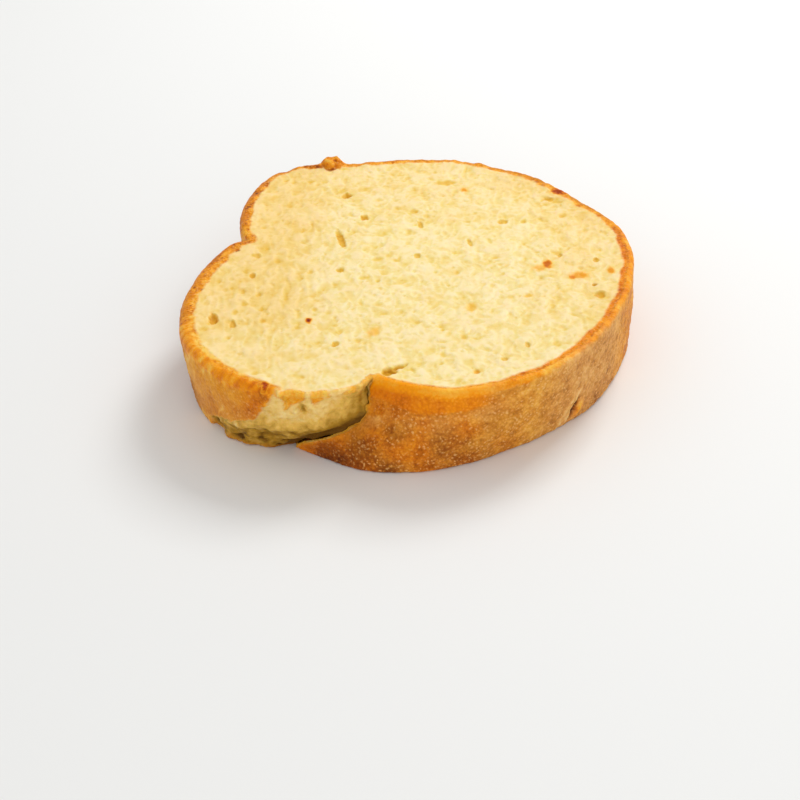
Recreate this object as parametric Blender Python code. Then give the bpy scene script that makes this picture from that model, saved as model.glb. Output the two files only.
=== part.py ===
"""A thick slice of white bread, toasted and buttered, lying on one cut face.

Crust and crumb are one baked piece, so the slice is one solid. The loaf burst in the
oven along one side: there a flap of crust stands proud of a band of torn crumb.

Run with: blender --background --python part.py
Metres, +Z up. The origin is on the surface that the slice lies on, under its middle.
+Y is the long way of the slice and -Y is its burst side.
"""

import bisect
import math
import random

import bmesh
import bpy
from mathutils import Vector, geometry, noise

MM = 0.001

# Driving dimensions of the slice
THICKNESS = 22.0 * MM
TAPER = 1.4 * MM  # the loaf narrows, so the wall stands in by this at the bottom
TOP_ROUND = 1.2 * MM  # the crust's edge at the toasted face
BOTTOM_ROUND = 0.9 * MM

# The loaf's outline at the toasted face, anticlockwise, in millimetres. It has two
# swollen parts that meet in a sharp crease on the burst side and a notch across from it.
CREASE = (-10.5, -54.0)
NOTCH = (-42.4, 18.8)
BODY = (
    CREASE, (-5.5, -58.0), (9.0, -62.9), (31.0, -56.8), (49.0, -37.0), (58.2, -10.0),
    (58.0, 7.2), (50.4, 23.2), (38.7, 41.8), (18.4, 57.4), (9.2, 60.0), (-12.1, 61.4),
    (-24.4, 62.5), (-37.0, 58.0), (-44.0, 42.3), (-45.0, 27.0), NOTCH,
)
CROWN = (
    NOTCH, (-47.0, 17.6), (-54.9, 5.0), (-59.1, -14.0), (-55.6, -33.5), (-43.5, -50.2),
    (-28.0, -58.6), (-16.0, -58.0), CREASE,
)

# The foot of the burst side. The flap has swept under the torn crumb as far as its tip, so
# there the two parts' feet meet. They fade into the plain tapered foot further round.
FLAP_TIP = (-31.0, -48.8)
BODY_FOOT = (
    FLAP_TIP, (-24.0, -54.9), (-15.8, -60.5), (-4.0, -63.6), (10.3, -61.8), (27.8, -54.1),
    (38.6, -46.6), (45.0, -39.4), (51.9, -26.7), (56.4, -14.0), (57.0, 3.0),
)
CROWN_FOOT = (
    FLAP_TIP, (-37.0, -49.2), (-42.4, -47.8), (-47.2, -45.0), (-50.6, -39.4), (-54.5, -32.3),
    (-57.3, -25.0), (-57.8, -16.0),
)
BODY_FOOT_SLIDE = 20.5 * MM  # the body's columns slide this far along it towards the tip
BODY_FOOT_SLIDE_END = 44.0 * MM
CROWN_FOOT_SQUEEZE = 0.53  # and the crown's are squeezed together
BODY_FOOT_FADE = (85.0 * MM, 110.0 * MM)
CROWN_FOOT_FADE = (50.0 * MM, 70.0 * MM)

# The burst: the flap's free edge runs steadily down from the crease, and between two
# shares of the depth it sweeps across to the tip
FLAP_STEADY = 0.28  # the share of its way that it makes steadily
FLAP_SWEEP_DEPTHS = (0.40, 0.95)
TAPER_POWER = 1.4  # elsewhere the wall curves in to its foot by this power of the depth
FLAP_FADE = 15.0 * MM  # how far along the wall the edge's own sweep carries
FLAP_BOW = 4.0 * MM  # in plan its way to the tip bows out by this
FLAP_OUT = Vector((-0.27, -0.96))  # outward, across that way
FLAP_STEP = 0.8 * MM  # the flap stands this proud of the crust behind it
FLAP_ROLL = 8.0 * MM  # and sinks back to it over this distance
TEAR_START = 25.0 * MM  # torn crumb runs this far along the rim from the crease
TEAR_SPREAD = 27.0 * MM  # and this much farther at the foot
TEAR_SINK = 1.0 * MM  # it lies this far under the crust
GROOVE_DEPTH = 1.8 * MM  # the hollow behind the flap's edge
GROOVE_WIDTH = 4.0 * MM

# The wall's columns at the flap's edge: the place along the wall, how far the column is
# slid in under the flap, and how far it sinks. The hollow runs in under the flap's lip.
HOLLOW_AT_RIM = 0.3  # at the rim it is this share as deep
HOLLOW_FULL = 0.3  # and it is whole at this share of depth
FLAP_EDGE = (
    (-2.4 * MM, 0.0, 0.0),
    (-0.1 * MM, 1.6 * MM, 0.5 * MM),
    (0.0, 1.0 * MM, 1.1 * MM),
    (0.3 * MM, 0.0, 0.3 * MM),
    (1.8 * MM, 0.0, 0.0),
)

# A blister of crust on the far edge
BLISTER_AT = (-19.5, 61.6)
BLISTER_WIDTH = 3.4 * MM
BLISTER_HEIGHT = 2.6 * MM
BLISTER_REACH = 1.2 * MM

# Relief
FACE_WAVE = 0.45 * MM  # the bread knife's slow wander over the face
FACE_WAVE_LENGTH = 42.0 * MM
CRUMB_RELIEF = 0.22 * MM
CRUMB_RELIEF_LENGTH = 5.0 * MM
CRUST_RELIEF = 0.35 * MM
CRUST_RELIEF_LENGTH = 9.0 * MM
TEAR_RELIEF = 1.0 * MM
TEAR_RELIEF_LENGTH = 4.5 * MM
DIMPLE = 0.5 * MM  # the crumb is a little sunk inside its crust
DIMPLE_WIDTH = 7.0 * MM

# Open cells in the toasted face. The large ones are named as x, y, length, width,
# degrees and depth in millimetres, and small ones are scattered between them.
LARGE_CELLS = (
    (-5.4, -51.0, 6.4, 2.2, 45.0, 2.2),
    (-17.0, 15.0, 11.4, 1.9, 99.0, 1.6),
    (-49.9, -20.4, 5.0, 2.6, 95.0, 1.3),
    (-15.0, 40.5, 3.4, 2.8, 90.0, 1.0),
    (-10.2, 26.2, 3.4, 2.4, 90.0, 1.0),
    (14.0, 43.8, 7.5, 2.8, -4.0, 0.5),
    (27.0, 17.6, 3.0, 2.6, 0.0, 0.7),
    (41.2, 27.6, 3.6, 2.4, -35.0, 0.7),
    (47.4, -25.0, 3.0, 2.6, 15.0, 0.9),
    (-17.4, -1.4, 2.6, 2.2, 20.0, 0.7),
    (-40.5, -0.3, 2.6, 1.8, 90.0, 0.7),
)
SMALL_CELLS = 34
SMALL_CELL_LENGTH = (2.6, 4.2)
SMALL_CELL_DEPTH = (0.5, 0.9)
CELL_GAP = 7.0  # least distance between the middles of two cells
CELL_MARGIN = 7.5  # cells keep this far inside the crust
CELL_SEED = 12
CELL_ROUNDNESS = 0.72  # a small cell's width over its length
CELL_SIDES = 7  # least sides of a cell
CELL_FACET = 1.1 * MM  # and about this long each
CELL_FLOOR = 0.55  # the floor's share of the radius
CELL_CLEARANCE = 1.45  # other points stay this many radii from its middle

# How finely the solid is faceted
WALL_STEP = 2.6 * MM
FACE_STEP = 2.35 * MM
RIM_CLEARANCE = 1.8 * MM  # the face's inner points stay this far from its rim
WALL_ROWS = 8
ROUND_STEPS = 2
CURVE_SAMPLES = 24  # samples between two named points of the outline
REACH = 1.8 * MM  # directions along the wall are read over this distance either way
TINY = 1e-6


def smoothstep(low, high, value):
    """0 below low and 1 above high, with a smooth rise between them."""
    share = min(1.0, max(0.0, (value - low) / (high - low)))
    return share * share * (3.0 - 2.0 * share)


def wave(point, length, lift=0.0):
    """Smooth noise from about -1 to 1, whose humps are about length across."""
    return noise.noise(Vector((point[0], point[1], point[2] + lift)) / length)


def curve_through(points):
    """A smooth open curve through points in millimetres, as dense samples in metres."""
    ends = [2 * Vector(points[0]) - Vector(points[1])]
    ends.append(2 * Vector(points[-1]) - Vector(points[-2]))
    line = [ends[0], *(Vector(p) for p in points), ends[1]]
    knots = [0.0]
    for a, b in zip(line, line[1:]):
        knots.append(knots[-1] + math.sqrt((b - a).length))
    samples = []
    for i in range(1, len(line) - 2):
        t0, t1, t2, t3 = knots[i - 1 : i + 3]
        for step in range(CURVE_SAMPLES):
            t = t1 + (t2 - t1) * step / CURVE_SAMPLES
            a1 = line[i - 1].lerp(line[i], (t - t0) / (t1 - t0))
            a2 = line[i].lerp(line[i + 1], (t - t1) / (t2 - t1))
            a3 = line[i + 1].lerp(line[i + 2], (t - t2) / (t3 - t2))
            b1 = a1.lerp(a2, (t - t0) / (t2 - t0))
            b2 = a2.lerp(a3, (t - t1) / (t3 - t1))
            samples.append(b1.lerp(b2, (t - t1) / (t2 - t1)) * MM)
    return samples


class Curve:
    """A curve in plan, read by the distance along it."""

    def __init__(self, samples):
        self.samples = samples
        self.along = [0.0]
        for a, b in zip(samples, samples[1:]):
            self.along.append(self.along[-1] + (b - a).length)
        self.length = self.along[-1]

    def at(self, along):
        along = min(max(along, 0.0), self.length)
        low = min(bisect.bisect_right(self.along, along), len(self.samples) - 1) - 1
        share = (along - self.along[low]) / (self.along[low + 1] - self.along[low])
        return self.samples[low].lerp(self.samples[low + 1], share)


class Wall:
    """The wall's plan at each height. Places are distances along the toasted face's
    outline from the crease: positive on the body's side and negative on the crown's."""

    def __init__(self):
        rim = curve_through(BODY) + curve_through(CROWN)
        self.rim = Curve([*rim, rim[0]])
        self.body_foot = Curve(curve_through(BODY_FOOT))
        self.crown_foot = Curve(curve_through(CROWN_FOOT))
        self.length = self.rim.length

    def signed(self, along):
        return (along + self.length / 2) % self.length - self.length / 2

    def foot(self, along):
        """Where the column of this place stands at the foot."""
        top = self.rim.at(along % self.length)
        way = self.rim.at((along + REACH) % self.length) - self.rim.at((along - REACH) % self.length)
        out = Vector((way.y, -way.x)).normalized()
        plain = top - out * TAPER
        if along >= 0:
            slid = along + BODY_FOOT_SLIDE * smoothstep(0.0, BODY_FOOT_SLIDE_END, along)
            return self.body_foot.at(slid).lerp(plain, smoothstep(*BODY_FOOT_FADE, along))
        squeezed = self.crown_foot.at(-along * CROWN_FOOT_SQUEEZE)
        return squeezed.lerp(plain, smoothstep(*CROWN_FOOT_FADE, -along))

    def spot(self, along, depth):
        """The column of this place at a share of depth: 0 at the toasted face, 1 at the foot."""
        near = math.exp(-abs(along) / FLAP_FADE)
        rush = smoothstep(*FLAP_SWEEP_DEPTHS, depth)
        sweep = FLAP_STEADY * depth + (1.0 - FLAP_STEADY) * rush
        share = depth**TAPER_POWER * (1.0 - near) + sweep * near
        bow = FLAP_BOW * 4.0 * sweep * (1.0 - sweep) * near
        return self.rim.at(along % self.length).lerp(self.foot(along), share) + FLAP_OUT * bow

    def outward(self, along, depth):
        """The outward direction. At the crease each side keeps its own."""
        low, high = along - REACH, along + REACH
        if along >= 0:
            low = max(low, 0.0)
        else:
            high = min(high, -TINY)
        way = self.spot(self.signed(high), depth) - self.spot(self.signed(low), depth)
        return Vector((way.y, -way.x)).normalized()


def torn(along, depth):
    """1 on torn crumb and 0 on crust."""
    end = -(TEAR_START + TEAR_SPREAD * depth**1.5)
    return smoothstep(end - 3.0 * MM, end + 3.0 * MM, along) * (along < 0)


def wall_offset(along, depth):
    """How far the wall stands out from its plain plan, without its fine relief."""
    if along >= 0:
        return FLAP_STEP * math.exp(-along / FLAP_ROLL) * smoothstep(0.0, HOLLOW_FULL, depth)
    hollow = math.exp(-((along / GROOVE_WIDTH) ** 2))
    offset = -TEAR_SINK * torn(along, depth) * smoothstep(0.0, 0.15, depth)
    return offset - GROOVE_DEPTH * hollow * smoothstep(0.0, HOLLOW_FULL, depth)


def wall_relief(point, along, depth):
    """The wall's fine relief: smooth blisters on the crust, ragged on torn crumb."""
    share = torn(along, depth)
    smooth = CRUST_RELIEF * wave(point, CRUST_RELIEF_LENGTH)
    ragged = TEAR_RELIEF * wave(point, TEAR_RELIEF_LENGTH, 0.1)
    return smooth * (1.0 - share) + ragged * share


def blister(point):
    """0 to 1, the lift of the crust blister on the far edge."""
    away = (Vector((point[0], point[1])) - Vector(BLISTER_AT) * MM).length
    return math.exp(-((away / BLISTER_WIDTH) ** 2))


def cells(wall):
    """The open cells as (middle, half length, half width, radians, depth), in metres."""
    found = [
        (Vector((x, y)) * MM, length * MM / 2, width * MM / 2, math.radians(turn), depth * MM)
        for x, y, length, width, turn, depth in LARGE_CELLS
    ]
    draw = random.Random(CELL_SEED)
    ring = [p / MM for p in wall.rim.samples[:-1]]
    while len(found) < len(LARGE_CELLS) + SMALL_CELLS:
        middle = Vector((draw.uniform(-58, 58), draw.uniform(-62, 62)))
        length = draw.uniform(*SMALL_CELL_LENGTH)
        turn = draw.uniform(0, math.pi)
        depth = draw.uniform(*SMALL_CELL_DEPTH)
        near = min((middle - cell[0] / MM).length for cell in found)
        edge = min((middle - p).length for p in ring)
        if near > CELL_GAP and edge > CELL_MARGIN and inside(middle, ring):
            half = length * MM / 2
            found.append((middle * MM, half, half * CELL_ROUNDNESS, turn, depth * MM))
    return found


def inside(point, ring):
    """True if the point lies in the closed ring of points."""
    crossings = 0
    for a, b in zip(ring, ring[1:] + ring[:1]):
        if (a.y > point.y) != (b.y > point.y):
            if point.x < a.x + (point.y - a.y) * (b.x - a.x) / (b.y - a.y):
                crossings += 1
    return crossings % 2 == 1


def in_cell(x, y, cell):
    """The distance from a cell's middle, as a share of the cell's own radius there."""
    middle, half_length, half_width, turn, _ = cell
    away = Vector((x, y)) - middle
    lengthwise = away.x * math.cos(turn) + away.y * math.sin(turn)
    across = away.y * math.cos(turn) - away.x * math.sin(turn)
    return math.hypot(lengthwise / half_length, across / half_width)


def face_height(x, y, edge_distance, open_cells):
    """The height of the toasted face over a point."""
    height = THICKNESS + FACE_WAVE * wave((x, y, 0.0), FACE_WAVE_LENGTH, 0.3)
    height += CRUMB_RELIEF * wave((x, y, 0.0), CRUMB_RELIEF_LENGTH, 0.7)
    height -= DIMPLE * smoothstep(0.0, DIMPLE_WIDTH, edge_distance)
    height += BLISTER_HEIGHT * blister((x, y))
    for cell in open_cells:
        share = in_cell(x, y, cell)
        if share < 1.0:
            height -= cell[4] * (1.0 - share**3)
    return height


def wall_profile():
    """(height, inset) from the bottom face's edge up to the toasted face's edge."""
    rows = []
    for step in range(ROUND_STEPS):
        turn = math.pi / 2 * step / ROUND_STEPS
        rows.append((BOTTOM_ROUND * (1 - math.cos(turn)), BOTTOM_ROUND * (1 - math.sin(turn))))
    low, high = BOTTOM_ROUND, THICKNESS - TOP_ROUND
    for step in range(WALL_ROWS):
        rows.append((low + (high - low) * step / (WALL_ROWS - 1), 0.0))
    for step in range(1, ROUND_STEPS + 1):
        turn = math.pi / 2 * step / ROUND_STEPS
        rows.append((high + TOP_ROUND * math.sin(turn), TOP_ROUND * (1 - math.cos(turn))))
    return rows


def wall_columns(wall):
    """The wall's columns as (place along the rim, slide, sink)."""
    first = FLAP_EDGE[-1][0]
    free = wall.length - first + FLAP_EDGE[0][0]
    count = round(free / WALL_STEP)
    even = [(first + free * i / count, 0.0, 0.0) for i in range(1, count)]
    return [*FLAP_EDGE, *even]


def wall_point(wall, column, height, inset):
    """A point of the wall, with its relief."""
    place, slide, sink = column
    along = wall.signed(place)
    depth = 1.0 - height / THICKNESS
    opened = HOLLOW_AT_RIM + (1.0 - HOLLOW_AT_RIM) * smoothstep(0.0, HOLLOW_FULL, depth)
    base = wall.spot(along, depth)
    out = wall.outward(along, depth)
    base += Vector((-FLAP_OUT.y, FLAP_OUT.x)) * slide * opened
    offset = wall_offset(along, depth) - inset - sink * opened
    offset += wall_relief((base.x, base.y, height), along, depth)
    offset += BLISTER_REACH * blister(base) * smoothstep(0.6, 1.0, 1.0 - depth)
    spot = base + out * offset
    return Vector((spot.x, spot.y, height))


def build_wall(mesh, wall, open_cells):
    """The rings of wall vertices, bottom first, with the faces between them."""
    columns = wall_columns(wall)
    rings = []
    for height, inset in wall_profile():
        ring = []
        for column in columns:
            point = wall_point(wall, column, height, inset)
            lift = face_height(point.x, point.y, 0.0, open_cells) - THICKNESS
            point.z += lift * (height / THICKNESS) ** 6
            ring.append(mesh.verts.new(point))
        rings.append(ring)
    for lower, upper in zip(rings, rings[1:]):
        for i in range(len(columns)):
            j = (i + 1) % len(columns)
            mesh.faces.new((lower[i], lower[j], upper[j], upper[i]))
    return rings


def grid_points(rim, open_cells):
    """A staggered grid of points inside the rim, clear of the open cells."""
    low = Vector((min(p.x for p in rim), min(p.y for p in rim)))
    high = Vector((max(p.x for p in rim), max(p.y for p in rim)))
    row_step = FACE_STEP * math.sqrt(3) / 2
    found = []
    for row in range(1, int((high.y - low.y) / row_step) + 1):
        start = low.x + FACE_STEP / 2 * (row % 2)
        for column in range(int((high.x - low.x) / FACE_STEP) + 1):
            point = Vector((start + column * FACE_STEP, low.y + row * row_step))
            edge = min((point - p).length for p in rim)
            free = all(in_cell(point.x, point.y, cell) > CELL_CLEARANCE for cell in open_cells)
            if edge > RIM_CLEARANCE and free and inside(point, rim):
                found.append(point)
    return found


def cell_ring(cell, share):
    """Points round an open cell at this share of its radius."""
    middle, half_length, half_width, turn, _ = cell
    along = Vector((math.cos(turn), math.sin(turn)))
    across = Vector((-along.y, along.x))
    sides = max(CELL_SIDES, round(math.pi * (half_length + half_width) / CELL_FACET))
    ring = []
    for side in range(sides):
        angle = 2 * math.pi * (side + share) / sides
        reach = along * math.cos(angle) * half_length + across * math.sin(angle) * half_width
        ring.append(middle + reach * share)
    return ring


def build_face(mesh, rim, open_cells):
    """The toasted face, filled with triangles inside the wall's top ring. Each open
    cell's rim and floor are kept as edges of it."""
    edge = [Vector((v.co.x, v.co.y)) for v in rim]
    points = edge + grid_points(edge, open_cells)
    kept = [(i, (i + 1) % len(edge)) for i in range(len(edge))]
    for cell in open_cells:
        for share in (CELL_FLOOR, 1.0):
            ring = cell_ring(cell, share)
            first = len(points)
            points.extend(ring)
            kept.extend((first + i, first + (i + 1) % len(ring)) for i in range(len(ring)))
    placed, _, triangles, sources, _, _ = geometry.delaunay_2d_cdt(points, kept, [], 0, TINY)
    corners = []
    for point, source in zip(placed, sources):
        if source and source[0] < len(edge):
            corners.append(rim[source[0]])
            continue
        distance = min((point - p).length for p in edge)
        height = face_height(point.x, point.y, distance, open_cells)
        corners.append(mesh.verts.new((point.x, point.y, height)))
    for triangle in triangles:
        middle = sum((placed[i] for i in triangle), Vector((0.0, 0.0))) / len(triangle)
        if inside(middle, edge):
            mesh.faces.new([corners[i] for i in triangle])


def toast_material():
    """Buttered crumb colour, dull as toasted bread is."""
    material = bpy.data.materials.new("toasted_bread")
    material.use_nodes = True
    shader = material.node_tree.nodes["Principled BSDF"]
    shader.inputs["Base Color"].default_value = (0.84, 0.60, 0.25, 1.0)
    shader.inputs["Roughness"].default_value = 0.62
    shader.inputs["Metallic"].default_value = 0.0
    return material


def build_slice():
    wall = Wall()
    open_cells = cells(wall)
    mesh = bmesh.new()
    rings = build_wall(mesh, wall, open_cells)
    mesh.faces.new(list(reversed(rings[0])))
    build_face(mesh, rings[-1], open_cells)
    bmesh.ops.recalc_face_normals(mesh, faces=mesh.faces)

    low = [min(v.co[axis] for v in mesh.verts) for axis in range(3)]
    high = [max(v.co[axis] for v in mesh.verts) for axis in range(3)]
    middle = Vector(((low[0] + high[0]) / 2, (low[1] + high[1]) / 2, low[2]))
    bmesh.ops.translate(mesh, verts=mesh.verts, vec=-middle)

    data = bpy.data.meshes.new("toast_slice")
    mesh.to_mesh(data)
    mesh.free()
    data.shade_smooth()
    data.set_sharp_from_angle(angle=math.radians(40))
    data.materials.append(toast_material())
    toast = bpy.data.objects.new("toast_slice", data)
    bpy.context.scene.collection.objects.link(toast)
    return toast


for old in list(bpy.data.objects):
    bpy.data.objects.remove(old)
build_slice()
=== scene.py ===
"""A thick slice of white bread, toasted and buttered, lying on its lower cut face.

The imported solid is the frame. The visible slice is one closed mesh over the same outline,
with the crust, the burst side and the crumb in fine relief, and it stays in the solid's box.
"""

import math
import random

import bpy
import numpy as np
from mathutils import Matrix, Vector, geometry, kdtree, noise


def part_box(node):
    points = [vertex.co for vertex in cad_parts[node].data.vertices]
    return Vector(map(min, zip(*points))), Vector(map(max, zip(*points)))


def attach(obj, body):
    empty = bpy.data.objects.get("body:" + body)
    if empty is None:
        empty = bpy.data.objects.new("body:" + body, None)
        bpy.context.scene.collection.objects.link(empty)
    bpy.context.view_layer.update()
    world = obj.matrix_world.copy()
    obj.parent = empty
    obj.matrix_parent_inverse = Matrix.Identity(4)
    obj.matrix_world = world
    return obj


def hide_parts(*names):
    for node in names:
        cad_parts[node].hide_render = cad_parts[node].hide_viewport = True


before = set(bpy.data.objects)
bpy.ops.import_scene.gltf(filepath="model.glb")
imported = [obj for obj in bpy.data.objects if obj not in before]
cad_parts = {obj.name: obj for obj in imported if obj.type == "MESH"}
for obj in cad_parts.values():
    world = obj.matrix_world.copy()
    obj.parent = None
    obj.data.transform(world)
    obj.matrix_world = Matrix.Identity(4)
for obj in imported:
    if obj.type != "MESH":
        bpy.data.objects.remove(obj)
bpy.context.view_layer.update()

# The wall of the slice: the loaf's own skin, a millimetre or two of crust that browned in
# the oven. Along the near side the loaf burst as it rose. A flap of crust stands there over
# a band of torn crumb, and it was baked into that shape.

MM = 0.001
THICKNESS = 22.0 * MM
TAPER = 1.4 * MM  # the loaf narrows to its lower cut face by this
BOTTOM_ROUND = 0.9 * MM
CURVE_SAMPLES = 24  # samples between two named points of a plan curve
REACH = 1.8 * MM  # directions along the wall are read over this distance either way
TINY = 1e-6

# The outline at the toasted face, anticlockwise from the crease, in millimetres
CREASE = (-10.5, -54.0)
NOTCH = (-42.4, 18.8)
BODY = (
    CREASE, (-5.5, -58.0), (9.0, -62.9), (31.0, -56.8), (49.0, -37.0), (58.2, -10.0),
    (58.0, 7.2), (50.4, 23.2), (38.7, 41.8), (18.4, 57.4), (9.2, 60.0), (-12.1, 61.4),
    (-24.4, 62.5), (-37.0, 58.0), (-44.0, 42.3), (-45.0, 27.0), NOTCH,
)
CROWN = (
    NOTCH, (-47.0, 17.6), (-54.9, 5.0), (-59.1, -14.0), (-55.6, -33.5), (-43.5, -50.2),
    (-28.0, -58.6), (-16.0, -58.0), CREASE,
)
# The foot of the burst side, where the flap has swept under the torn crumb to its tip
FLAP_TIP = (-31.0, -48.8)
BODY_FOOT = (
    FLAP_TIP, (-24.0, -54.9), (-15.8, -60.5), (-4.0, -63.6), (10.3, -61.8), (27.8, -54.1),
    (38.6, -46.6), (45.0, -39.4), (51.9, -26.7), (56.4, -14.0), (57.0, 3.0),
)
CROWN_FOOT = (
    FLAP_TIP, (-37.0, -49.2), (-42.4, -47.8), (-47.2, -45.0), (-50.6, -39.4), (-54.5, -32.3),
    (-57.3, -25.0), (-57.8, -16.0),
)
BODY_FOOT_SLIDE = 20.5 * MM
BODY_FOOT_SLIDE_END = 44.0 * MM
CROWN_FOOT_SQUEEZE = 0.53
BODY_FOOT_FADE = (85.0 * MM, 110.0 * MM)
CROWN_FOOT_FADE = (50.0 * MM, 70.0 * MM)

FLAP_STEADY = 0.28  # this share of the flap's sweep is even from rim to foot
FLAP_SWEEP_DEPTHS = (0.40, 0.95)
TAPER_POWER = 1.4
FLAP_FADE = 15.0 * MM
FLAP_BOW = 4.0 * MM
FLAP_OUT = np.array((-0.27, -0.96))  # outward, across the flap's way to its tip
FLAP_STEP = 0.8 * MM
FLAP_ROLL = 8.0 * MM
FLAP_LINE = -0.05 * MM  # between the crumb's last column and the flap's first
FLAP_BED = 1.3 * MM  # the torn crumb rises this far to meet the flap
FLAP_BED_REACH = 3.2 * MM
GROOVE_WIDTH = 4.0 * MM
SHADE_REACH = 6.5 * MM  # painted shade darkens the crumb in the groove over this distance
HOLLOW_AT_RIM = 0.3
HOLLOW_FULL = 0.3
# Columns at the flap's edge: place along the rim, slide in under the flap, sink, and how
# many columns lead up to it
FLAP_EDGE = (
    (-2.4 * MM, 0.0, 0.0, 0),
    (-0.1 * MM, 0.3 * MM, 0.1 * MM, 6),
    (0.0, 0.2 * MM, 0.3 * MM, 3),
    (0.3 * MM, 0.0, 0.1 * MM, 4),
    (1.8 * MM, 0.0, 0.0, 4),
)
LIP_RAGGED = 0.95 * MM  # how far the flap's edge wanders
LIP_RAGGED_LENGTH = 1.7 * MM
LIP_REACH = 1.3 * MM

# The torn crumb: how far it runs from the crease at each depth, and its ledge and hollows
TEAR_ENDS = (-25.5 * MM, -26.8 * MM, -28.6 * MM, -35.0 * MM, -43.0 * MM, -52.0 * MM)
TEAR_END_DEPTHS = (0.0, 0.22, 0.46, 0.60, 0.70, 0.86)
TEAR_SINK = 1.0 * MM
TEAR_EDGE = 0.7 * MM  # the crust breaks off over this width
TEAR_EDGE_WANDER = 1.8 * MM
TEAR_EDGE_JAG = 1.1 * MM
TEAR_START = (0.5 * MM, 6.0 * MM)  # the hollows and the relief set in over this stretch
LEDGE_PLACES = (-45.0 * MM, -36.0 * MM, -26.5 * MM, -18.5 * MM, -8.5 * MM, 0.0)
LEDGE_DEPTHS = (0.74, 0.66, 0.57, 0.52, 0.49, 0.46)
LEDGE_PROUD = 0.35 * MM
LEDGE_HOLLOW = 0.45 * MM
TEAR_RELIEF = 1.1 * MM
TEAR_RELIEF_LENGTH = 4.5 * MM
TEAR_FIBRE = 0.34 * MM
TEAR_PIT = 2.2 * MM
TEAR_FLAKE = 1.3 * MM  # a ragged fold of crumb that runs down from the rim
FLAKE_WIDTH = 0.9 * MM
FLAKE_NOTCH = 1.8 * MM  # from the fold to the hole beside it
# Bits of crust left on the torn rim: place and reach in millimetres, and depth of the foot
TEAR_PATCHES = ((-21.5, 3.4, 0.16), (-14.0, 2.2, 0.12), (-7.5, 1.6, 0.07))

# The crust's relief, and the band and the runs of butter that baked to a glaze
CRUST_RELIEF = 0.35 * MM
CRUST_RELIEF_LENGTH = 9.0 * MM
CRUST_GRAIN = 0.20 * MM
CRUST_GRAIN_LENGTH = 1.6 * MM
GLAZE_END = 31.0 * MM  # a smooth buttery band runs this far from the crease
GLAZE_PLACES = (0.0, 6.0 * MM, 12.0 * MM, 25.0 * MM, 31.0 * MM)
GLAZE_DEPTHS = (0.20, 0.22, 0.27, 0.26, 0.19)
BUTTER_PLACES = (30 * MM, 50 * MM, 75 * MM, 110 * MM)
BUTTER_DEPTHS = (0.08, 0.01, 0.02, 0.03)

# A crack low on the right, with a raised chip of crust after it and two ridges before it
CRACK_PLACE = 56.2 * MM
CRACK_LEAN = 9.0 * MM
CRACK_DEPTHS = (0.64, 0.93)
CRACK_SINK = 1.4 * MM
CRACK_WIDTH = 0.85 * MM
CHIP_AT = 2.0 * MM
CHIP_WIDTH = 1.1 * MM
CHIP_PROUD = 0.6 * MM
RIDGES_AT = (-1.6 * MM, -3.4 * MM)
RIDGE_WIDTH = 0.5 * MM

# The rim all round: place along it, how round the shoulder is, how wide the crust shows
# on the toasted face and how dark it browned (0 pale to 1 scorched)
RIM = (
    (-200.0, 1.2, 1.4, 0.52),
    (-185.0, 1.3, 1.5, 0.52),
    (-165.0, 1.5, 1.2, 0.54),
    (-150.0, 2.0, 1.5, 0.60),
    (-135.0, 2.2, 1.7, 0.59),
    (-124.0, 1.8, 1.2, 0.48),
    (-119.0, 1.2, 1.0, 0.46),
    (-110.0, 2.0, 2.9, 0.62),
    (-98.0, 2.8, 2.5, 0.60),
    (-80.0, 2.6, 1.6, 0.51),
    (-62.0, 2.2, 1.8, 0.37),
    (-45.0, 1.8, 1.7, 0.36),
    (-30.0, 1.5, 1.2, 0.46),
    (-22.0, 1.2, 0.8, 0.48),
    (-6.0, 1.2, 0.5, 0.46),
    (0.0, 1.2, 0.5, 0.50),
    (14.0, 1.2, 0.7, 0.48),
    (32.0, 1.2, 1.0, 0.42),
    (60.0, 1.2, 1.9, 0.43),
    (95.0, 1.2, 1.8, 0.43),
    (130.0, 1.2, 1.3, 0.50),
    (160.0, 1.2, 1.3, 0.54),
    (200.0, 1.2, 1.4, 0.52),
)

# A curled knob of crust on the far edge
KNOB_AT = np.array((-18.9, 61.0)) * MM
KNOB_RADIUS = 4.0 * MM
KNOB_HEIGHT = 2.3 * MM
KNOB_REACH = 1.1 * MM
KNOB_DENT = np.array((1.2, -1.3)) * MM  # from its middle
KNOB_DENT_DEPTH = 0.7 * MM
KNOB_DENT_WIDTH = 1.0 * MM
KNOB_RIDGE_AT = KNOB_AT + np.array((-5.0, -1.4)) * MM
KNOB_RIDGE_HEIGHT = 0.9 * MM

WALL_STEP = 0.54 * MM
WALL_ROWS = 36
BOTTOM_ROUND_ROWS = 4
TOP_ROUND_ROWS = 6
SLOW_LIFT_POWER = 6  # how quickly the face's slow waves die out down the wall


def smoothstep(low, high, value):
    """0 below low and 1 above high, with a smooth rise between them."""
    share = np.clip((value - low) / (high - low), 0.0, 1.0)
    return share * share * (3.0 - 2.0 * share)


def wave(points, length, lift=0.0):
    """Smooth noise from about -1 to 1, whose humps are about length across. The lift only
    moves it, so that no two waves are alike."""
    moved = (points + (0.0, 0.0, lift)) / length
    return np.array([noise.noise(p) for p in moved.tolist()])


def hump(value, middle, reach):
    """1 at the middle, with a soft fall to nearly 0 at twice the reach either way."""
    return np.exp(-(((value - middle) / reach) ** 2))


def stretch(along, start, full, last, end):
    """1 along a stretch of the rim, from full to last in millimetres, with soft ends."""
    return smoothstep(start * MM, full * MM, along) * smoothstep(end * MM, last * MM, along)


def mix(low, high, share):
    """Between two arrays of points, by a share for each."""
    return low + (high - low) * share[:, None]


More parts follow.
